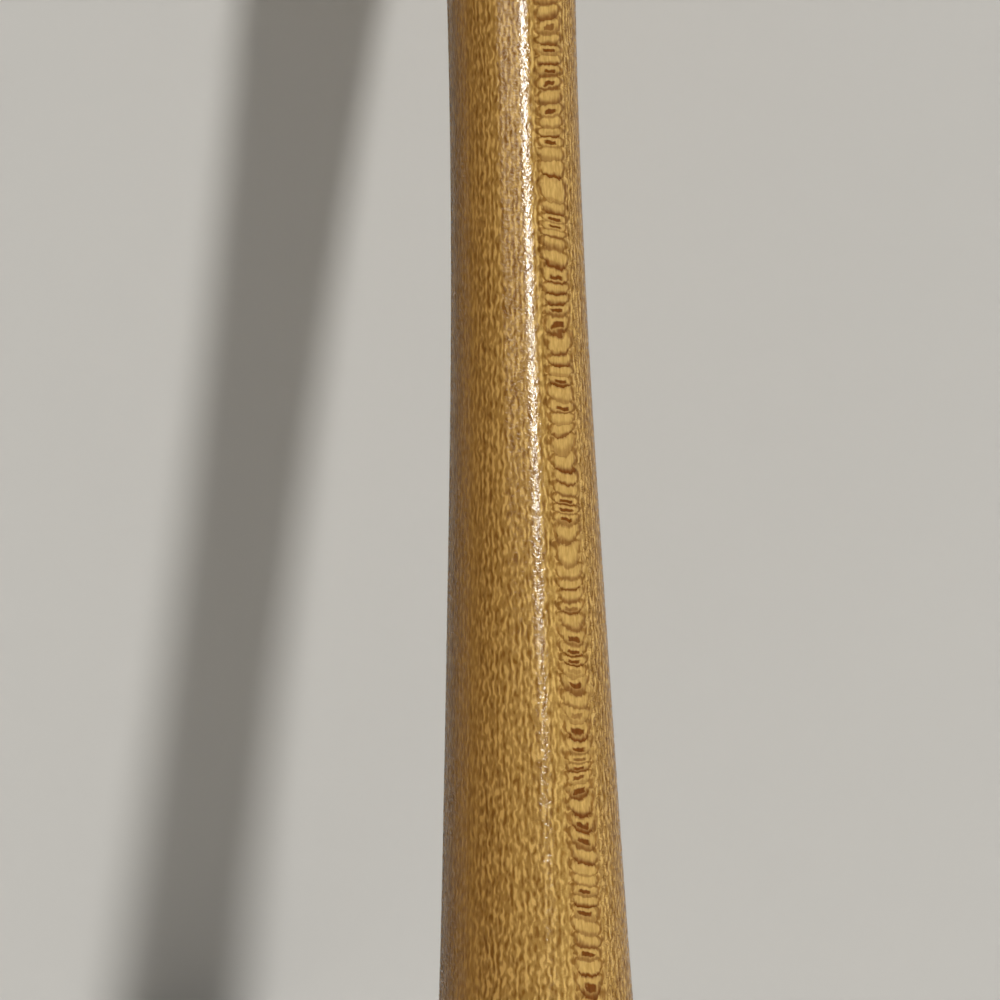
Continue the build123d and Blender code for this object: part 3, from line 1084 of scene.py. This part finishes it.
@dataclass
class Beak:
    """The hollow curve at the back of the mouthpiece: distance from the axis against height."""

    lip: Point2 = (-4.5, 330.0)
    heel: Point2 = (12.4, 302.0)
    hollow: float = 4.5
    softness: float = 0.9

    def level(self, height: np.ndarray) -> np.ndarray:
        """How far towards +Y the wood reaches at each height.

        Args:
            height: the heights.

        Returns:
            The level of the beak's curve; far outside below its heel.
        """
        lip, heel = np.array(self.lip), np.array(self.heel)
        chord = heel - lip
        length = float(np.hypot(*chord))
        bulge = self.hollow
        radius = (length**2 / 4 + bulge**2) / (2 * bulge)
        inward = np.array([chord[1], -chord[0]]) / length
        centre = (lip + heel) / 2 - inward * (radius - bulge)
        drop = radius**2 - (np.asarray(height, float) - centre[1]) ** 2
        sign = -1.0 if centre[0] > lip[0] else 1.0
        level = centre[0] + sign * np.sqrt(np.maximum(drop, 0.0))
        return np.where(np.asarray(height) < self.heel[1], 60.0, level)

    def ring(self, radius: float, height: float, heart: float, softness: float, count: int) -> np.ndarray:
        """A ring round a heart on the front side, as the beak's curve leaves it.

        Args:
            radius: radius of the turned surface at this height.
            height: the ring's height.
            heart: the ring's centre towards -Y.
            softness: reach of the rounding between the flat and the turned surface.
            count: how many points it has.

        Returns:
            The points in millimetres.
        """
        angle = np.linspace(0, 2 * math.pi, count, endpoint=False)
        x, y = np.cos(angle), np.sin(angle)
        lean = -heart * y
        turned = -lean + np.sqrt(lean**2 - heart**2 + radius**2)
        flat = (float(self.level(np.array(height))) + heart) / np.maximum(y, 1e-3)
        flat = np.where(y > 1e-3, flat, 1e3)
        reach = smooth_least(turned, flat, softness)
        return np.stack([reach * x, reach * y - heart, np.full(count, height)], axis=1)


@dataclass
class HeadJoint:
    """The head with its socket, windway, window, ramp and beak, its brass ring and its block."""

    foot: float = 228.0
    tip: float = 330.0
    foot_radius: float = 12.4
    middle_radius: float = 12.15
    top_radius: float = 11.6
    tip_rounding: float = 0.6
    bore_radius: float = 7.0
    socket_radius: float = 9.25
    socket_top: float = 248.5
    ring_height: float = 7.0
    ring_seat: float = 11.3
    ring_clearance: float = 0.03
    groove_depth: float = 0.2
    groove_inset: float = 1.6
    windway_width: float = 9.6
    windway_exit: float = 8.1
    windway_entry: float = 8.7
    block_face: float = 287.0
    labium: float = 283.0
    labium_radius: float = 7.5
    ramp_foot: float = 265.0
    block_clearance: float = 0.03
    block_chamfer: float = 0.6
    beak: Beak = field(default_factory=Beak)

    def radius(self, height: float) -> float:
        """Radius of the head's outside at a height, on one gentle arc."""
        low, high = self.foot + self.ring_height, self.tip
        middle = (low + high) / 2
        t = (height - low) / (high - low)
        ends = self.foot_radius * (1 - t) + self.top_radius * t
        crown = self.middle_radius - (self.foot_radius + self.top_radius) / 2
        return ends + crown * (1 - ((height - middle) / (high - middle)) ** 2)

    def heart(self, height: float, deepest: float) -> float:
        """How far the rings' centre has moved towards -Y at a height."""
        t = min(max((height - 280.0) / (self.tip - 280.0), 0.0), 1.0)
        return deepest * t * t * (3 - 2 * t)

    def make_wood(self, shop: Workshop, finish: bpy.types.Material) -> bpy.types.Object:
        """Turns the head, shapes its beak and cuts its socket, bore, windway, window and ramp.

        Args:
            shop: the tools.
            finish: the wood.

        Returns:
            The head.
        """
        seat_top = self.foot + self.ring_height
        chamfer = 0.15
        levels = [(self.ring_seat, self.foot), (self.ring_seat, seat_top)]
        levels.append((self.radius(seat_top) - chamfer, seat_top))
        plain = np.arange(seat_top + 1.5, 298.0, 1.5)
        beaked = np.arange(298.0, 329.2, 0.6)
        levels += [(self.radius(z), z) for z in [seat_top + chamfer, *plain, *beaked]]
        for degrees in (0, 22, 45, 67, 90):
            turn = math.radians(degrees)
            z = self.tip - self.tip_rounding * (1 - math.sin(turn))
            levels.append((self.radius(self.tip) - self.tip_rounding * (1 - math.cos(turn)), z))
        rows = [self.beak.ring(r, z, self.heart(z, 8.0), self.beak.softness, 168) for r, z in levels]
        wood = shop.rows("head_joint_wood", np.array(rows), finish)
        shop.bore(wood, *self.wastes(shop))
        return wood

    def wastes(self, shop: Workshop) -> list[bpy.types.Object]:
        """The solids taken out of the turned head.

        Args:
            shop: the tools.

        Returns:
            The socket and bore, the windway, the window and the ramp.
        """
        step = [
            (0.0, self.foot - 2),
            (self.socket_radius + 0.3, self.foot - 2),
            (self.socket_radius + 0.3, self.foot),
            (self.socket_radius, self.foot + 0.3),
            (self.socket_radius, self.socket_top),
            (self.bore_radius, self.socket_top),
            (self.bore_radius, self.tip + 2),
            (0.0, self.tip + 2),
        ]
        bore = shop.turn("bore", step)
        windway = self.slab(shop, [
            (self.block_face - 1, 3.0, self.windway_exit),
            (self.block_face, 3.0, self.windway_exit),
            (self.tip, 3.0, self.windway_entry),
            (self.tip + 2, 3.0, self.windway_entry),
        ])
        window = self.slab(shop, [(self.labium, 3.0, 20.0), (self.block_face, 3.0, 20.0)])
        fall = (self.foot_radius - self.labium_radius) / (self.labium - self.ramp_foot)
        ramp = self.slab(shop, [
            (self.ramp_foot - 1, self.foot_radius + fall, 20.0),
            (self.labium + 0.5, self.labium_radius - fall * 0.5, 20.0),
        ])
        return [bore, windway, window, ramp]

    def slab(self, shop: Workshop, levels: list[tuple[float, float, float]]) -> bpy.types.Object:
        """A waste as wide as the windway, between two radii at each level.

        Args:
            shop: the tools.
            levels: height, inner radius and outer radius of each level.

        Returns:
            The waste.
        """
        half = self.windway_width / 2
        across = np.linspace(-half, half, 25)
        rows = []
        for height, inner, outer in levels:
            near = -np.sqrt(np.maximum(inner**2 - across**2, 0.0))
            far = -np.sqrt(outer**2 - across**2)
            x = np.concatenate([across, across[::-1]])
            y = np.concatenate([far, near[::-1]])
            rows.append(np.stack([x, y, np.full(len(x), height)], axis=1))
        return shop.rows("waste", np.array(rows))

    def make_ring(self, shop: Workshop, finish: bpy.types.Material) -> bpy.types.Object:
        """Turns the brass ring at the head's foot, with a line near each edge."""
        bottom, top = self.foot, self.foot + self.ring_height - self.ring_clearance
        inner = self.ring_seat + self.ring_clearance
        outer, depth, inset = self.foot_radius, self.groove_depth, self.groove_inset
        high = self.foot + self.ring_height - inset
        low = self.foot + inset
        corners = [
            (inner, bottom), (outer, bottom),
            (outer, low - depth), (outer - depth, low), (outer, low + depth),
            (outer, high - depth), (outer - depth, high), (outer, high + depth),
            (outer, top), (inner, top),
        ]
        section = softened(corners, {1: 0.3, 2: 0.06, 4: 0.06, 5: 0.06, 7: 0.06, 8: 0.3}, 4)
        return shop.turn("socket_ring_brass", [*section, section[0]], finish, 144)

    def make_block(self, shop: Workshop, finish: bpy.types.Material) -> bpy.types.Object:
        """Shapes the block: a plug with a chamfered face, cut along the beak's curve."""
        radius = self.bore_radius - self.block_clearance
        face = self.block_face
        levels = [(radius - self.block_chamfer, face), (radius, face + self.block_chamfer)]
        levels += [(radius, z) for z in np.arange(face + 1.5, 304.0, 1.5)]
        levels += [(radius, z) for z in np.linspace(304.0, self.tip, 44)]
        rows = [self.beak.ring(r, z, self.heart(z, 5.8), 0.12, 96) for r, z in levels]
        return shop.rows("block_cedar", np.array(rows), finish)


# ---------------------------------------------------------------------------
# Studio
# ---------------------------------------------------------------------------


class Seen(Enum):
    """Which rays a lamp answers."""

    MATT = "matt"
    GLOSS = "gloss"
    BOTH = "both"


def bearing(right_degrees: float, up_degrees: float) -> Vector:
    """A direction from the object, by its angle to the right of the camera's side and above level."""
    right, up = math.radians(right_degrees), math.radians(up_degrees)
    return Vector((-math.sin(right) * math.cos(up), math.cos(right) * math.cos(up), math.sin(up)))


@dataclass(frozen=True)
class Sun:
    """A distant lamp."""

    name: str
    right: float
    up: float
    strength: float
    spread: float
    colour: Colour
    seen: Seen

    def hang(self) -> None:
        """Adds the lamp to the scene."""
        lamp = bpy.data.lights.new(self.name, "SUN")
        lamp.energy = self.strength
        lamp.angle = math.radians(self.spread)
        lamp.color = self.colour
        holder = bpy.data.objects.new(self.name, lamp)
        holder.rotation_mode = "QUATERNION"
        holder.rotation_quaternion = bearing(self.right, self.up).to_track_quat("Z", "Y")
        holder.visible_glossy = self.seen is not Seen.MATT
        holder.visible_diffuse = self.seen is not Seen.GLOSS
        bpy.context.scene.collection.objects.link(holder)


@dataclass(frozen=True)
class Panel:
    """A flat lamp that shows only in glossy surfaces."""

    name: str
    right: float
    up: float
    distance: float
    width: float
    height: float
    power: float
    colour: Colour

    def hang(self) -> None:
        """Adds the lamp to the scene, facing the middle of the body."""
        lamp = bpy.data.lights.new(self.name, "AREA")
        lamp.shape = "RECTANGLE"
        lamp.size = self.width
        lamp.size_y = self.height
        lamp.energy = self.power
        lamp.color = self.colour
        holder = bpy.data.objects.new(self.name, lamp)
        holder.location = Vector((0, 0, 0.085)) + bearing(self.right, self.up) * self.distance
        holder.rotation_mode = "QUATERNION"
        holder.rotation_quaternion = bearing(self.right, self.up).to_track_quat("Z", "Y")
        holder.visible_camera = False
        holder.visible_diffuse = False
        bpy.context.scene.collection.objects.link(holder)


@dataclass
class Studio:
    """The camera, the pale surroundings and the lamps."""

    aim_height: float = 84.8
    distance: float = 500.0
    elevation: float = -8.0
    lens: float = 112.9
    yaw: float = 0.43
    roll: float = -1.405
    surround: Colour = (0.515, 0.491, 0.451)
    bright_side: Colour = (0.26, 0.25, 0.23)
    dim_side: Colour = (0.19, 0.184, 0.177)
    ambient: Colour = (0.115, 0.119, 0.122)
    wall_colour: Colour = (0.568, 0.564, 0.547)
    floor_colour: Colour = (0.72, 0.69, 0.64)
    foot_of_wall: float = -150.2
    wall_lean: float = 0.38
    bend_start: float = 205.0
    wall_front: float = -50.0
    wall_top: float = 4000.0
    reach: float = 4.0  # metres; how far the floor and the wall go to each side

    def place_camera(self) -> None:
        """Sets the camera on the thumb hole's side, slightly below the middle of the view."""
        camera = bpy.data.cameras.new("camera")
        camera.lens = self.lens
        camera.sensor_width = 36.0
        camera.clip_start = 0.01
        camera.clip_end = 20.0
        holder = bpy.data.objects.new("camera", camera)
        back = bearing(0.0, self.elevation)
        holder.location = Vector((0, 0, self.aim_height * MM)) + back * (self.distance * MM)
        look = (-back).to_track_quat("-Z", "Y")
        turn = Matrix.Rotation(math.radians(self.yaw), 3, "Y")
        turn = turn @ Matrix.Rotation(math.radians(self.roll), 3, "Z")
        holder.rotation_mode = "QUATERNION"
        holder.rotation_quaternion = look @ turn.to_quaternion()
        bpy.context.scene.collection.objects.link(holder)
        bpy.context.scene.camera = holder

    def light_world(self) -> None:
        """Sets a plain ambient level, with the surroundings' own colour where it is seen or mirrored."""
        world = bpy.data.worlds.new("surroundings")
        bpy.context.scene.world = world
        world.use_nodes = True
        g = Graph(world.node_tree)
        back = world.node_tree.nodes["Background"]
        path = g.add("ShaderNodeLightPath")
        direct = g.math("MAXIMUM", path.outputs["Is Camera Ray"], path.outputs["Is Glossy Ray"])
        direct = g.math("MAXIMUM", direct, path.outputs["Is Transmission Ray"])
        side, _, _ = g.split(g.add("ShaderNodeTexCoord").outputs["Generated"])
        mirrored = g.blend(g.ramp(side, -0.6, 0.5), rgba(self.bright_side), rgba(self.dim_side))
        mirrored = g.blend(path.outputs["Is Glossy Ray"], rgba(self.surround), mirrored)
        g.join(g.blend(direct, rgba(self.ambient), mirrored), back.inputs["Color"])

    def plain(self, name: str, colour: Colour, one_sided: bool) -> bpy.types.Material:
        """A matt material of the surroundings.

        Args:
            name: its name.
            colour: its colour.
            one_sided: whether it can be seen through from behind.

        Returns:
            The material.
        """
        material = bpy.data.materials.new(name)
        material.use_nodes = True
        g = Graph(material.node_tree)
        shader = material.node_tree.nodes["Principled BSDF"]
        leave = material.node_tree.nodes["Material Output"]
        place = g.add("ShaderNodeTexCoord").outputs["Object"]
        mottle = g.noise(place, scale=7.0, detail=3.0)
        shade = g.ramp(mottle, 0.2, 0.8, 0.99, 1.01)
        tint = g.blend(1.0, rgba(colour), g.xyz(shade, shade, shade), "MULTIPLY")
        g.join(tint, shader.inputs["Base Color"])
        shader.inputs["Roughness"].default_value = 1.0
        shader.inputs["Specular IOR Level"].default_value = 0.0
        if one_sided:
            clear = g.add("ShaderNodeBsdfTransparent")
            choose = g.add("ShaderNodeMixShader")
            g.join(g.add("ShaderNodeNewGeometry").outputs["Backfacing"], choose.inputs[0])
            g.join(shader.outputs[0], choose.inputs[1])
            g.join(clear.outputs[0], choose.inputs[2])
            g.join(choose.outputs[0], leave.inputs["Surface"])
        return material

    def build_floor(self) -> None:
        """Lays the floor."""
        mesh = bpy.data.meshes.new("floor")
        far = self.reach
        corners = [(-far, -far, 0.0), (far, -far, 0.0), (far, far, 0.0), (-far, far, 0.0)]
        mesh.from_pydata(corners, [], [(0, 1, 2, 3)])
        mesh.materials.append(self.plain("floor paint", self.floor_colour, False))
        floor = bpy.data.objects.new("floor", mesh)
        bpy.context.scene.collection.objects.link(floor)

    def build_wall(self) -> None:
        """Stands the pale sheet behind the object: it leans forward from its foot, then bends upright."""
        line = [(self.foot_of_wall + self.wall_lean * z, z) for z in np.linspace(-2.0, self.bend_start, 12)]
        y, z = line[-1]
        slope = math.atan(self.wall_lean)
        radius = (self.wall_front - y) / (1 - math.cos(slope))
        for t in np.linspace(0.0, 1.0, 17)[1:]:
            turn = slope * (1 - t)
            rise = radius * (math.sin(slope) - math.sin(turn))
            line.append((y + radius * (math.cos(turn) - math.cos(slope)), z + rise))
        line.append((line[-1][0], self.wall_top))
        verts = []
        for y, z in line:
            verts += [(-self.reach, y * MM, z * MM), (self.reach, y * MM, z * MM)]
        faces = [(2 * i, 2 * i + 2, 2 * i + 3, 2 * i + 1) for i in range(len(line) - 1)]
        mesh = bpy.data.meshes.new("backdrop")
        mesh.from_pydata(verts, [], faces)
        for face in mesh.polygons:
            face.use_smooth = True
        if mesh.polygons[0].normal.y < 0:
            mesh.flip_normals()
        mesh.materials.append(self.plain("backdrop paint", self.wall_colour, True))
        wall = bpy.data.objects.new("backdrop", mesh)
        wall.visible_shadow = False
        wall.visible_diffuse = False
        bpy.context.scene.collection.objects.link(wall)

    def hang_lamps(self) -> None:
        """Hangs the key, the fill and the panels that make the varnish shine."""
        lamps = (
            Sun("key", 26.0, 25.0, 2.78, 4.5, (1.0, 0.985, 0.96), Seen.MATT),
            Sun("fill", 180.0, 25.0, 1.8, 30.0, (1.0, 0.985, 0.96), Seen.BOTH),
            Panel("shine strip", 19.6, 27.5, 1.5, 0.15, 0.85, 20.0, (0.97, 0.985, 0.965)),
            Panel("soft shine", -5.0, 35.0, 1.5, 1.0, 1.0, 11.5, (1.0, 0.98, 0.95)),
        )
        for lamp in lamps:
            lamp.hang()
            log.info("lamp %s", lamp.name)

    def build(self) -> None:
        """Sets up everything round the object."""
        bpy.context.scene.view_settings.view_transform = "Standard"
        self.place_camera()
        self.light_world()
        self.build_floor()
        self.build_wall()
        self.hang_lamps()


# ---------------------------------------------------------------------------
# Assembly
# ---------------------------------------------------------------------------


def fit(piece: bpy.types.Object, body: str, node: str) -> None:
    """Lets a finished piece stand for a node of the model and move with its body.

    Args:
        piece: the finished piece.
        body: the body it moves with.
        node: the node it stands for.
    """
    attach(piece, body)
    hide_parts(node)
    log.info("%s: %d faces, on %s", piece.name, len(piece.data.polygons), body)


def main() -> None:
    """Builds the studio, the finishes and the pieces, in order."""
    logging.basicConfig(level=logging.INFO, format="%(name)s: %(message)s")
    studio = Studio()
    studio.build()
    shop = Workshop()
    effects = Effects()
    body_maple = Maple("maple body", "maple").make(effects)
    head_maple = Maple("maple head", "maple", math.radians(70), shift=(3.0, 5.0, 91.0)).make(effects)
    cork = Cork("sheet cork", "cork").make(effects)
    ivory = IvoryResin("ivory resin", "bush_resin").make(effects)
    brass = Brass("turned brass", "ring_brass").make(effects)
    cedar = Cedar("red cedar", "cedar").make(effects)
    body = BodyJoint()
    head = HeadJoint()
    fit(body.make_wood(shop, body_maple), "body", "body_joint")
    fit(body.make_cork(shop, cork), "body", "tenon_cork")
    fit(body.make_bush(shop, ivory), "body", "thumb_bush")
    fit(head.make_ring(shop, brass), "ring", "socket_ring")
    fit(head.make_wood(shop, head_maple), "head", "head_joint")
    fit(head.make_block(shop, cedar), "block", "block")


if __name__ == "__main__":
    main()
